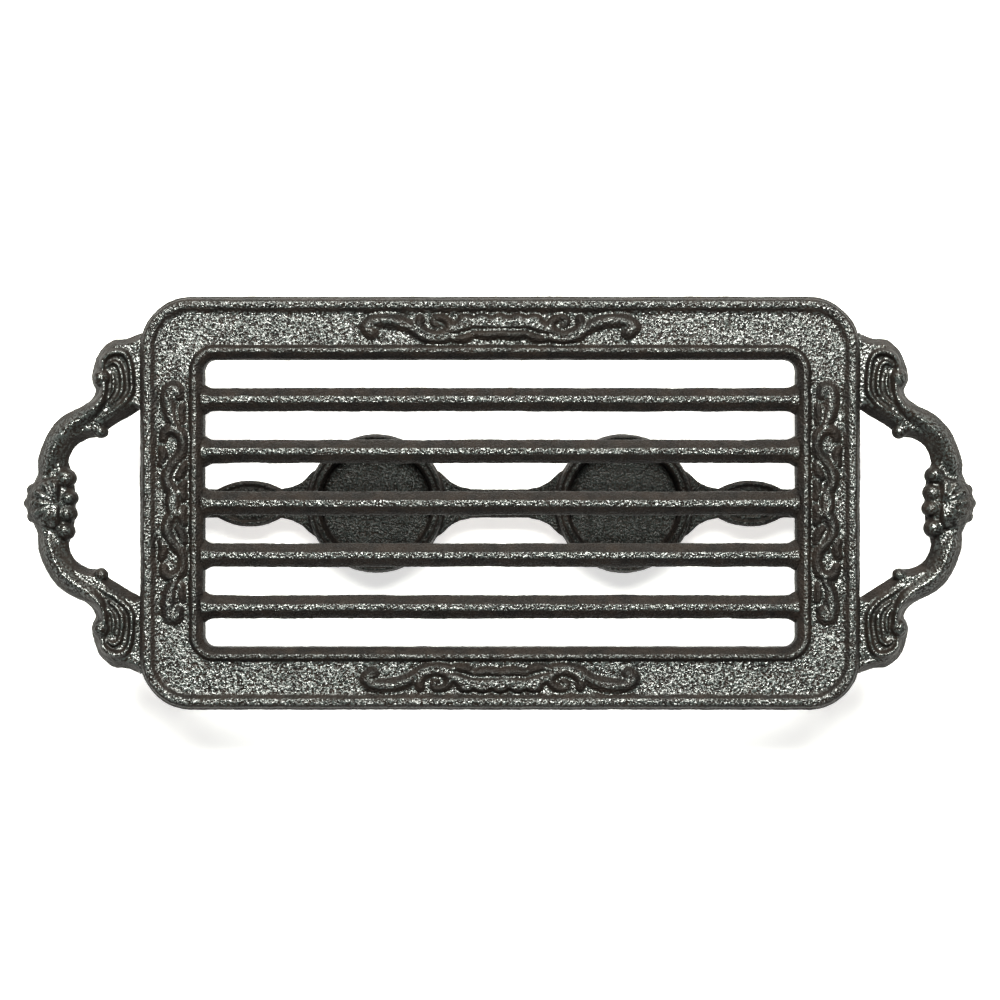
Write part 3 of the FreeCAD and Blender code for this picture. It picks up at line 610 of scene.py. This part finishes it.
# ---------------------------------------------------------------- leg frames
def make_leg_frame(name, side):
    """An end frame: flat rail, two cabriole legs with pad feet, and the tray's cross rail."""
    top = LEG_HIGH[2]
    shells = Shells()
    thick = 3.5
    for y in (-1, 1):
        leg = (
            (LEG_X, 33.0, top - 4.2, 4.0, thick), (LEG_X, 44.0, top - 4.6, 4.6, thick),
            (LEG_X, 53.0, top - 8.0, 6.0, thick), (LEG_X, 55.2, top - 16.0, 5.8, thick + 0.3),
            (LEG_X, 53.6, 31.0, 4.2, thick), (LEG_X, 53.4, 17.0, 3.3, thick), (LEG_X, 55.6, 8.0, 3.5, thick),
            (LEG_X, 58.2, 3.6, 3.5, thick + 0.4),
        )
        shells.tube(mirrored(leg, y=y), reference=(1, 0, 0), around=28, lean=0.75)
        shells.lathe(((0, 0), (5.2, 0), (5.9, 0.8), (5.9, 2.0), (4.6, 3.2), (0, 4.4)), (LEG_X, 59.0 * y),
                     around=60)
        scroll = (
            (LEG_X, 47.0, 34.0, 1.0, 2.4), (LEG_X, 43.4, 37.6, 1.5, 2.6), (LEG_X, 43.6, 42.0, 1.7, 2.8),
            (LEG_X, 48.0, 44.6, 2.0, 2.9), (LEG_X, 52.0, 42.6, 2.0, 2.9),
        )
        shells.tube(mirrored(scroll, y=y), reference=(1, 0, 0), around=20)
        shells.lathe(((0, top - 8), (4.4, top - 8), (5.0, top - 7.2), (5.0, top), (0, top)),
                     (LEG_X, 30.0 * y), around=60)
    rail_low, rail_high = 8.0, 14.0
    for low, high, reach, half in ((top - 8.0, top, 52.0, thick), (rail_low, rail_high, 53.0, thick)):
        shells.slab(((LEG_X - half, -reach), (LEG_X + half, -reach), (LEG_X + half, reach),
                     (LEG_X - half, reach)),
                    low, high)
    shells.lathe(((0, rail_low), (6.6, rail_low), (7.0, rail_low + 0.6), (7.0, rail_high), (0, rail_high)),
                 (LEG_X, 0), around=60)
    piece = shells.build(name)
    fuse(piece, 0.6, 3)
    turn_piece(piece, side)
    return piece


# ---------------------------------------------------------------- candle tray
def make_candle_tray():
    """The strut with two stepped cups and a rimmed leaf near each end."""
    shells = Shells()
    strut_low, strut_high = 14.0, 18.5
    strut_middle = (strut_low + strut_high) / 2
    strut_half = (strut_high - strut_low) / 2
    cup_edge = 22.8
    floor, bottom = 13.5, TRAY_LOW[2]
    rim = TRAY_HIGH[2]
    cup = ((0, bottom), (18.0, bottom), (20.4, bottom + 0.8), (23.4, strut_low), (25.0, strut_low + 1.8),
           (25.3, strut_high - 0.6), (24.9, strut_high + 0.3), (24.6, strut_high + 1.6), (24.6, rim - 1.2),
           (24.3, rim), (23.3, rim), (22.9, rim - 1.4), (22.3, rim - 1.6), (22.1, rim - 0.9),
           (21.1, rim - 0.9),
           (20.7, rim - 2.4), (20.25, rim - 3.6), (20.25, floor + 0.6), (19.9, floor), (0, floor))
    webs = ((22.6, 11.8), (23.5, 11.2), (27.0, 7.9), (30.5, 6.1), (34.0, 5.4))
    for x in (-1, 1):
        shells.lathe(cup, (CUP_X * x, 0))
        for way in (-1, 1):
            half = [(CUP_X * x + px * way, py) for px, py in webs]
            outline = half + [(px, -py) for px, py in reversed(half)]
            shells.slab(outline if way > 0 else outline[::-1], strut_low, strut_high - 0.2)
        leaf_x = 91.0 * x
        leaf = []
        for turn in np.linspace(0, 2 * math.pi, 60, endpoint=False):
            leaf.append((leaf_x + 15.4 * math.cos(turn),
                         8.4 * math.sin(turn) * (1 - 0.12 * math.cos(turn) ** 2)))
        shells.slab(leaf, strut_low, strut_high - 1.0)
        for scale, height in ((0.86, 1.0), (0.62, 0.5)):
            rows = [(leaf_x + (px - leaf_x) * scale, py * scale, strut_high - 1.6, 0.85, 1.0 + height)
                    for px, py in leaf[::6] + leaf[:1]]
            shells.tube(rows, around=12)
        shells.lathe(((0, strut_low), (6.8, strut_low), (7.0, strut_high - 0.5), (6.5, strut_high),
                      (0, strut_high)),
                     (LEG_X * x, 0), around=60)
        outer_end = (CUP_X + cup_edge) * x
        shells.tube(((outer_end, 0, strut_middle, 5.4, strut_half),
                     ((outer_end + LEG_X * x) / 2, 0, strut_middle, 5.2, strut_half),
                     (LEG_X * x, 0, strut_middle, 5.2, strut_half)), lean=0.5)
    shells.tube(((-CUP_X + cup_edge, 0, strut_middle, 5.4, strut_half), (0, 0, strut_middle, 5.2, strut_half),
                 (CUP_X - cup_edge, 0, strut_middle, 5.4, strut_half)), lean=0.5)
    rib_end = LEG_X - 8.5
    shells.slab(((-rib_end, -2.5), (rib_end, -2.5), (rib_end, 2.5), (-rib_end, 2.5)), bottom, strut_low + 1)
    piece = shells.build("candle_tray_casting")
    fuse(piece, 0.5, 1)
    return piece


# ---------------------------------------------------------------- materials
def node_in(tree, kind, **settings):
    node = tree.nodes.new(kind)
    for name, value in settings.items():
        setattr(node, name, value)
    return node


def noise_at(tree, place, scale, detail, rough=0.6):
    """A noise texture over the object's own coordinates, its scale in features per metre."""
    node = node_in(tree, "ShaderNodeTexNoise")
    node.inputs["Scale"].default_value = scale
    node.inputs["Detail"].default_value = detail
    node.inputs["Roughness"].default_value = rough
    tree.links.new(place, node.inputs["Vector"])
    return node.outputs["Fac"]


def ramp(tree, value, stops):
    """A colour ramp: stops are (position, colour)."""
    node = node_in(tree, "ShaderNodeValToRGB")
    elements = node.color_ramp.elements
    while len(elements) < len(stops):
        elements.new(0.5)
    for element, (position, colour) in zip(elements, stops):
        element.position = position
        element.color = (*colour, 1)
    tree.links.new(value, node.inputs["Fac"])
    return node.outputs["Color"]


def mix(tree, factor, first, second):
    node = node_in(tree, "ShaderNodeMix", data_type="RGBA")
    tree.links.new(factor, node.inputs["Factor"])
    tree.links.new(first, node.inputs["A"])
    tree.links.new(second, node.inputs["B"])
    return node.outputs["Result"]


def span(tree, value, low, high, bottom=0.0, top=1.0):
    """Maps low..high smoothly onto bottom..top."""
    node = node_in(tree, "ShaderNodeMapRange", interpolation_type="SMOOTHSTEP")
    for name, number in (("From Min", low), ("From Max", high), ("To Min", bottom), ("To Max", top)):
        node.inputs[name].default_value = number
    tree.links.new(value, node.inputs["Value"])
    return node.outputs["Result"]


def maths(tree, operation, first, second):
    node = node_in(tree, "ShaderNodeMath", operation=operation)
    for socket, value in zip(node.inputs, (first, second)):
        if isinstance(value, (int, float)):
            socket.default_value = value
        else:
            tree.links.new(value, socket)
    return node.outputs[0]


def cast_iron(name, steepest, gloss, grain):
    """Blackened sand-cast iron with painted light: what faces up and lies outside hollows gets lighter,
    cooler, glossier flecks as a painted highlight, and the flanks and hollows keep a darker, warmer,
    matte colour as painted shade.

    steepest is the normal's rise where the painted highlight begins, gloss its specular level and how
    light the painted highlight colour is, and grain the strength of the sand's marks.
    """
    material = bpy.data.materials.new(name)
    material.use_nodes = True
    tree = material.node_tree
    shader = tree.nodes["Principled BSDF"]
    place = node_in(tree, "ShaderNodeTexCoord").outputs["Object"]
    shape = node_in(tree, "ShaderNodeNewGeometry")
    facing = node_in(tree, "ShaderNodeSeparateXYZ")
    tree.links.new(shape.outputs["Normal"], facing.inputs["Vector"])

    sand = noise_at(tree, place, 1250, 1, 0.5)
    # level and open_face pick what faces up and lies outside hollows; the masks made from them place the
    # painted highlight, and flanks and hollows are left in painted shade.
    level = span(tree, facing.outputs["Z"], steepest, 0.965)
    open_face = span(tree, shape.outputs["Pointiness"], 0.44, 0.495)
    painted_sheen_mask = maths(tree, "MULTIPLY", level, open_face)
    fleck = span(tree, sand, 0.40, 0.56)
    painted_fleck_mask = maths(tree, "MULTIPLY", painted_sheen_mask, fleck)

    # Dark iron colour with random mottling; on flanks and in hollows it also stands as painted shade.
    dark_iron_and_painted_shade = ramp(tree, noise_at(tree, place, 150, 4),
                ((0.34, (0.0052, 0.0044, 0.0041)), (0.70, (0.0140, 0.0100, 0.0080))))
    # A lighter, cooler colour for the up-facing flecks: a painted highlight, dimmer where gloss is lower.
    bright = 0.4 + 0.6 * gloss
    painted_sheen_colour = ramp(tree, noise_at(tree, place, 420, 3),
                  ((0.35, (0.016 * bright, 0.019 * bright, 0.018 * bright)),
                   (0.65, (0.045 * bright, 0.053 * bright, 0.051 * bright))))
    # Painted highlight flecks over the dark iron colour, which stays on flanks and in hollows as painted
    # shade.
    tree.links.new(mix(tree, painted_fleck_mask, dark_iron_and_painted_shade, painted_sheen_colour), shader.inputs["Base Color"])
    # The same masks make the painted highlight flecks glossy and the shaded flanks and hollows matte.
    tree.links.new(span(tree, painted_fleck_mask, 0, 1, 0.14, gloss), shader.inputs["Specular IOR Level"])
    tree.links.new(span(tree, painted_sheen_mask, 0, 1, 0.56, 0.17), shader.inputs["Roughness"])
    shader.inputs["Metallic"].default_value = 0.0

    coarse = node_in(tree, "ShaderNodeBump")
    coarse.inputs["Strength"].default_value = grain
    coarse.inputs["Distance"].default_value = 0.7 * MM
    tree.links.new(sand, coarse.inputs["Height"])
    tree.links.new(coarse.outputs["Normal"], shader.inputs["Normal"])
    return material


def oxide_steel():
    """Black-oxide machine screws: smooth, with a faint fine bump and patchy tone and roughness."""
    material = bpy.data.materials.new("black_oxide_steel")
    material.use_nodes = True
    tree = material.node_tree
    shader = tree.nodes["Principled BSDF"]
    place = node_in(tree, "ShaderNodeTexCoord").outputs["Object"]
    colour = ramp(tree, noise_at(tree, place, 500, 3),
                  ((0.35, (0.018, 0.018, 0.020)), (0.7, (0.06, 0.058, 0.056))))
    tree.links.new(colour, shader.inputs["Base Color"])
    shader.inputs["Metallic"].default_value = 0.6
    patches = node_in(tree, "ShaderNodeMapRange")
    patches.inputs["To Min"].default_value = 0.28
    patches.inputs["To Max"].default_value = 0.45
    tree.links.new(noise_at(tree, place, 900, 3), patches.inputs["Value"])
    tree.links.new(patches.outputs["Result"], shader.inputs["Roughness"])
    bump = node_in(tree, "ShaderNodeBump")
    bump.inputs["Strength"].default_value = 0.25
    bump.inputs["Distance"].default_value = 0.05 * MM
    tree.links.new(noise_at(tree, place, 2600, 2), bump.inputs["Height"])
    tree.links.new(bump.outputs["Normal"], shader.inputs["Normal"])
    return material


# ---------------------------------------------------------------- assembly
iron = cast_iron("cast_iron_skin", 0.83, 1.0, 1.0)
# The handles' copy starts its painted highlight on steeper slopes, so more of each handle is painted lighter;
# its sand marks are fainter.
handle_iron = cast_iron("cast_iron_handle_painted_sheen", 0.56, 0.9, 0.5)
# The tray's copy has a dimmer, less glossy painted highlight than the grate's: painted shade for the tray
# lying under the grate.
tray_iron = cast_iron("cast_iron_tray_painted_shade", 0.8, 0.14, 1.0)
oxide = oxide_steel()

finish_casting(make_grate_frame(), "root", "grate", iron, seed=1)
finish_casting(make_grate_bars(), "root", "grate", iron, seed=2,
               grain=((0.24, 9.0), (0.12, 1.6), (0.09, 0.8)))
for end, side, seed in (("left", -1, 3), ("right", 1, 4)):
    finish_casting(make_handle(f"{end}_handle_casting", side), "root", f"{end}_handle", handle_iron, seed,
                   grain=((0.20, 6.0), (0.12, 1.8), (0.05, 0.9)))
    finish_casting(make_leg_frame(f"{end}_leg_casting", side), "root", f"{end}_leg_frame", iron, seed + 2)
finish_casting(make_candle_tray(), "root", "candle_tray", tray_iron, seed=7)
for row in frame["record"]["subparts"]:
    if row["material_slot"] != "blackened_steel":
        continue
    fastener = bpy.data.objects[row["node"]]
    for slot in fastener.material_slots:
        slot.material = oxide


# ---------------------------------------------------------------- stage, light and camera
def make_floor():
    mesh = bpy.data.meshes.new("floor")
    reach = 6.0
    level = -0.05 * MM
    mesh.from_pydata([(-reach, -reach, level), (reach, -reach, level), (reach, reach, level),
                      (-reach, reach, level)],
                     [], [(0, 1, 2, 3)])
    floor = bpy.data.objects.new("floor", mesh)
    bpy.context.scene.collection.objects.link(floor)
    material = bpy.data.materials.new("floor_white")
    material.use_nodes = True
    shader = material.node_tree.nodes["Principled BSDF"]
    shader.inputs["Base Color"].default_value = (0.93, 0.93, 0.925, 1)
    shader.inputs["Roughness"].default_value = 0.9
    shader.inputs["Specular IOR Level"].default_value = 0.1
    shader.inputs["Emission Color"].default_value = (1, 1, 0.995, 1)
    shader.inputs["Emission Strength"].default_value = 0.6
    mesh.materials.append(material)


def add_softbox(name, place, size, power, tint=(1, 1, 1)):
    """A square soft light aimed at the object."""
    data = bpy.data.lights.new(name, "AREA")
    data.shape = "RECTANGLE"
    data.size, data.size_y = size
    data.energy = power
    data.color = tint
    light = bpy.data.objects.new(name, data)
    light.location = place
    light.rotation_euler = (-Vector(place)).to_track_quat("-Z", "Y").to_euler()
    bpy.context.scene.collection.objects.link(light)


def make_studio():
    """White walls low down and a dim ceiling, so that only the softbox shows in level surfaces."""
    world = bpy.data.worlds.new("studio")
    world.use_nodes = True
    tree = world.node_tree
    way = node_in(tree, "ShaderNodeTexCoord").outputs["Generated"]
    split = node_in(tree, "ShaderNodeSeparateXYZ")
    tree.links.new(way, split.inputs["Vector"])
    shade = ramp(tree, split.outputs["Z"], ((0.10, (1.0, 1.0, 1.0)), (0.34, (0.10, 0.10, 0.105)),
                                            (1.0, (0.07, 0.07, 0.072))))
    tree.links.new(shade, tree.nodes["Background"].inputs["Color"])
    bpy.context.scene.world = world


def add_camera():
    """Looks straight down on the grate's top plane, as a product shot from above."""
    above = 0.95
    pixels_per_metre = 2900
    frame_pixels = 1000
    data = bpy.data.cameras.new("camera")
    data.sensor_width = 36
    data.lens = pixels_per_metre * above / frame_pixels * data.sensor_width
    data.dof.use_dof = False
    camera = bpy.data.objects.new("camera", data)
    data.shift_y = 0.009
    camera.location = (0, -0.002, TOP * MM + above)
    camera.rotation_euler = (0, 0, 0)
    bpy.context.scene.collection.objects.link(camera)
    bpy.context.scene.camera = camera


make_floor()
add_softbox("overhead", (0, 0.72, 1.55), (0.74, 0.76), 92, (0.985, 1.0, 0.92))
add_softbox("warm_back", (0, 1.3, 0.55), (1.6, 0.4), 8, (1.0, 0.84, 0.70))
make_studio()
bpy.context.scene.view_settings.view_transform = "Standard"
add_camera()
